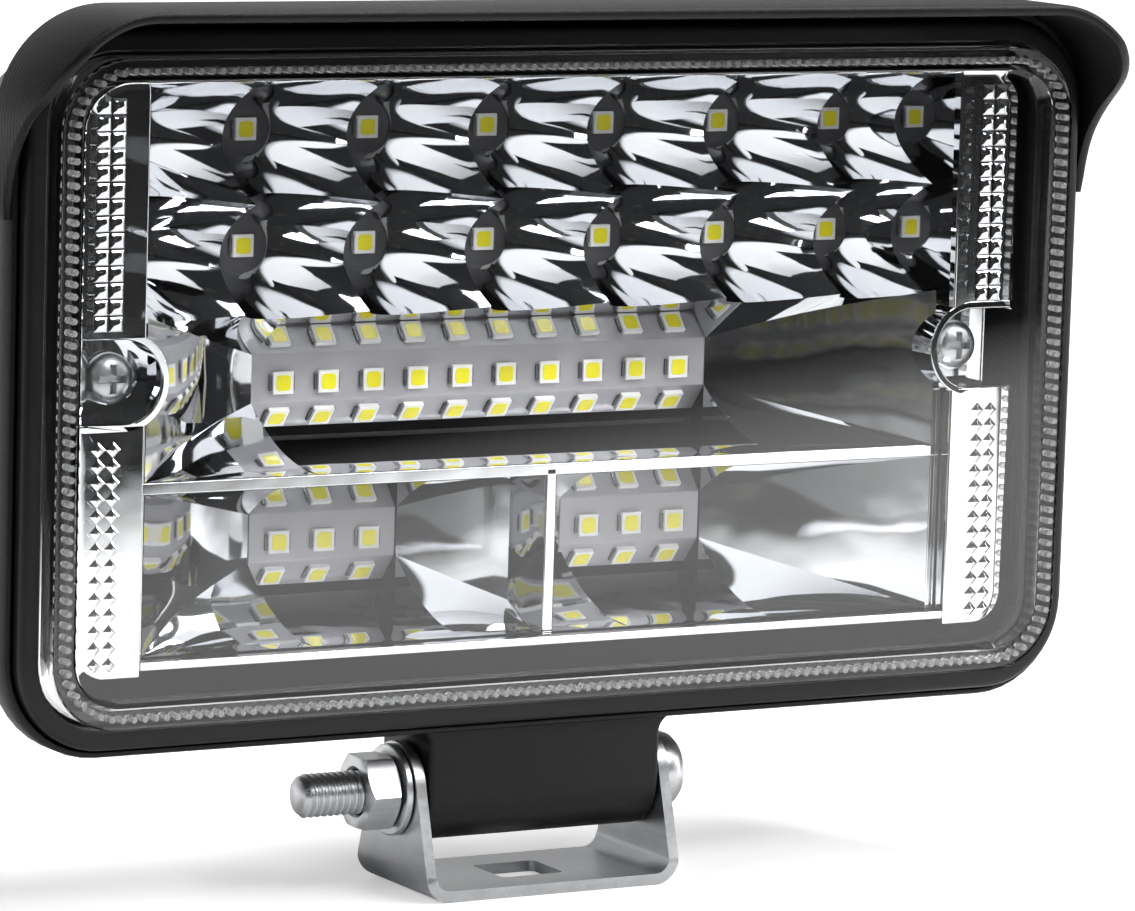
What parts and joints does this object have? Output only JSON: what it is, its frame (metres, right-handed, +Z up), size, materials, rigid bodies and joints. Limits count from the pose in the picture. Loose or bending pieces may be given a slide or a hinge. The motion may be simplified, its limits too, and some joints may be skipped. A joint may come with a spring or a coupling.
{
  "type": "fog light",
  "caption": "Rectangular LED fog lamp with a hooded black housing, chromed reflector and clear lens, tilting on a steel U-bracket.",
  "frame": {"origin": "centre of the flat underside of the bracket's foot, where the lamp is bolted on", "axes": "+Z up, the light shines along -Y, +X to the lamp's right-hand end seen from the front"},
  "size_m": [0.165, 0.067, 0.1202],
  "materials": {
    "casting": "satin black powder coat on die-cast aluminium",
    "black_plastic": "satin",
    "clear_lens": "clear polycarbonate, polished",
    "rubber": "matte",
    "chrome": "vacuum-metallised plastic, mirror bright",
    "light_board": "pale grey solder mask on an aluminium-core board",
    "driver_board": "green solder mask",
    "red_wire": "satin",
    "zinc_steel": "bright zinc plate, satin"
  },
  "bodies": {
    "stand": {"bracket": "zinc_steel", "pivot_bolt": "zinc_steel", "bolt_washer": "zinc_steel", "bolt_nut": "zinc_steel"},
    "lamp": {"housing": "casting", "bezel": "black_plastic", "lens": "clear_lens", "lens_gasket": "rubber", "reflector": "chrome", "reflector_screw_left": "zinc_steel", "reflector_screw_right": "zinc_steel", "cup_led_board": "light_board", "wide_led_bar": "light_board", "left_led_bar": "light_board", "right_led_bar": "light_board", "driver_board": "driver_board", "lead_positive": "red_wire", "lead_negative": "rubber", "gland_body": "black_plastic", "gland_nut": "black_plastic", "gland_seal": "rubber", "vent_plug": "black_plastic"}
  },
  "joints": [
    {"name": "tilt", "type": "hinge", "parent": "stand", "child": "lamp", "pos_m": [0, 0, 0.0139], "axis": [1, 0, 0], "range_deg": [-45, 80]}
  ]
}
